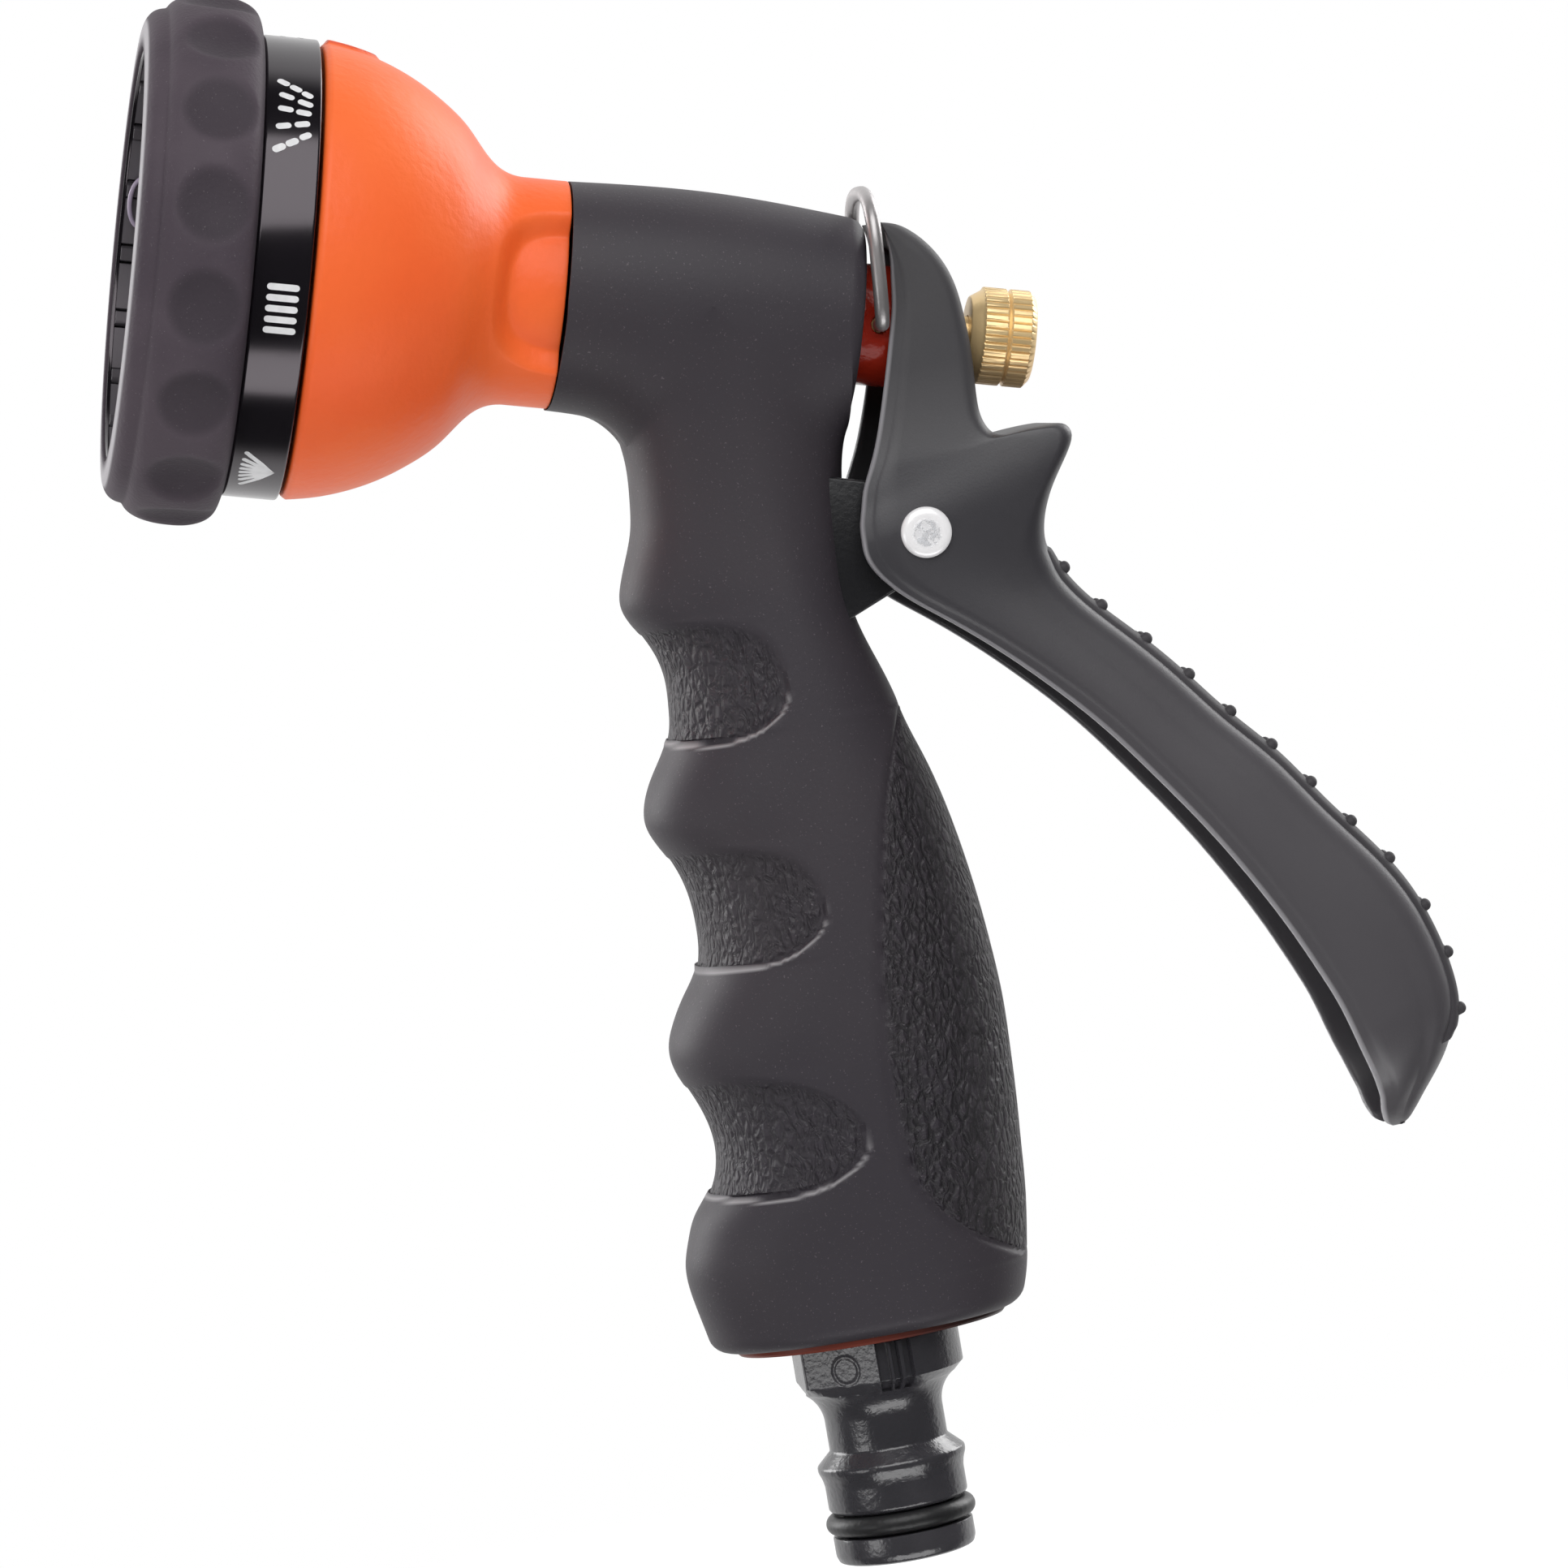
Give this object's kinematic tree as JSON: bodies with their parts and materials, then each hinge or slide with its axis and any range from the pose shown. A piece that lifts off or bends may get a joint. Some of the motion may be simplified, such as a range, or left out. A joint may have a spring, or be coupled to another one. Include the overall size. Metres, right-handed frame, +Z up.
{
  "type": "hose spray nozzle",
  "caption": "Pistol-grip hose nozzle with a rotating pattern dial, rear squeeze lever, wire lock clip, flow nut and click-fit tail.",
  "frame": {"origin": "centre of the hose tail's open end face, on the tail's axis", "axes": "+Z up along the hose tail's axis to the barrel, +X to the rear where the lever is, +Y to the side; water leaves towards -X and a little up"},
  "size_m": [0.141, 0.0592, 0.1866],
  "materials": {
    "orange_paint": "gloss paint on zinc casting",
    "sleeve_rubber": "matt moulded rubber",
    "dial_plastic": "gloss",
    "ring_rubber": "matt moulded rubber",
    "face_plastic": "fine matt",
    "inner_plastic": "natural moulded plastic",
    "seal_rubber": "smooth",
    "lever_paint": "satin powder coat",
    "pad_rubber": "matt with small nubs",
    "rivet_metal": "satin",
    "nut_brass": "turned, lightly worn",
    "inner_brass": "turned",
    "spring_steel": "drawn wire",
    "clip_steel": "bright drawn wire",
    "tail_plastic": "satin"
  },
  "bodies": {
    "body": {"body_casting": "orange_paint", "grip_sleeve": "sleeve_rubber", "hose_adaptor": "tail_plastic", "adaptor_o_ring": "seal_rubber", "adaptor_washer": "seal_rubber", "pivot_rivet": "rivet_metal", "valve_seat": "inner_plastic", "stem_gland": "inner_brass", "stem_o_ring": "seal_rubber", "port_seal": "seal_rubber", "port_spring": "spring_steel", "detent_ball": "spring_steel", "detent_spring": "spring_steel", "dial_screw": "clip_steel", "dial_washer": "clip_steel", "valve_spring": "spring_steel"},
    "dial": {"dial_shell": "dial_plastic", "dial_grip_ring": "ring_rubber", "spray_face": "face_plastic", "port_plate": "inner_plastic", "face_gasket": "seal_rubber"},
    "stem": {"valve_stem": "inner_brass", "valve_plug": "inner_brass", "plug_seal": "seal_rubber"},
    "lever": {"lever": "lever_paint", "lever_pad": "pad_rubber"},
    "nut": {"flow_nut": "nut_brass"},
    "clip": {"lock_clip": "clip_steel"}
  },
  "joints": [
    {"name": "dial_turn", "type": "hinge", "parent": "body", "child": "dial", "pos_m": [-0.0151, 0, 0.1469], "axis": [-0.9659, 0, 0.2588], "continuous": true},
    {"name": "lever_squeeze", "type": "hinge", "parent": "body", "child": "lever", "pos_m": [0.0214, 0, 0.1139], "axis": [0, 1, 0], "range_deg": [0, 15], "stiffness_Nm_per_rad": 0.442, "springref_deg": -17.9},
    {"name": "stem_slide", "type": "slide", "parent": "body", "child": "stem", "axis": [0.9659, 0, -0.2588], "range_m": [0, 0.0051], "stiffness_N_per_m": 5, "springref_m": -0.006, "deforming": ["valve_spring"]},
    {"name": "nut_turn", "type": "hinge", "parent": "stem", "child": "nut", "pos_m": [0.0332, 0, 0.13396], "axis": [0.9659, 0, -0.2588], "range_deg": [-360, 360]},
    {"name": "clip_flip", "type": "hinge", "parent": "body", "child": "clip", "pos_m": [0.01938, 0, 0.13766], "axis": [0, 1, 0], "range_deg": [0, 35]}
  ],
  "couplings": [
    {"joint": "stem_slide", "follows": "lever_squeeze", "m_per_rad": 0.0192}
  ]
}
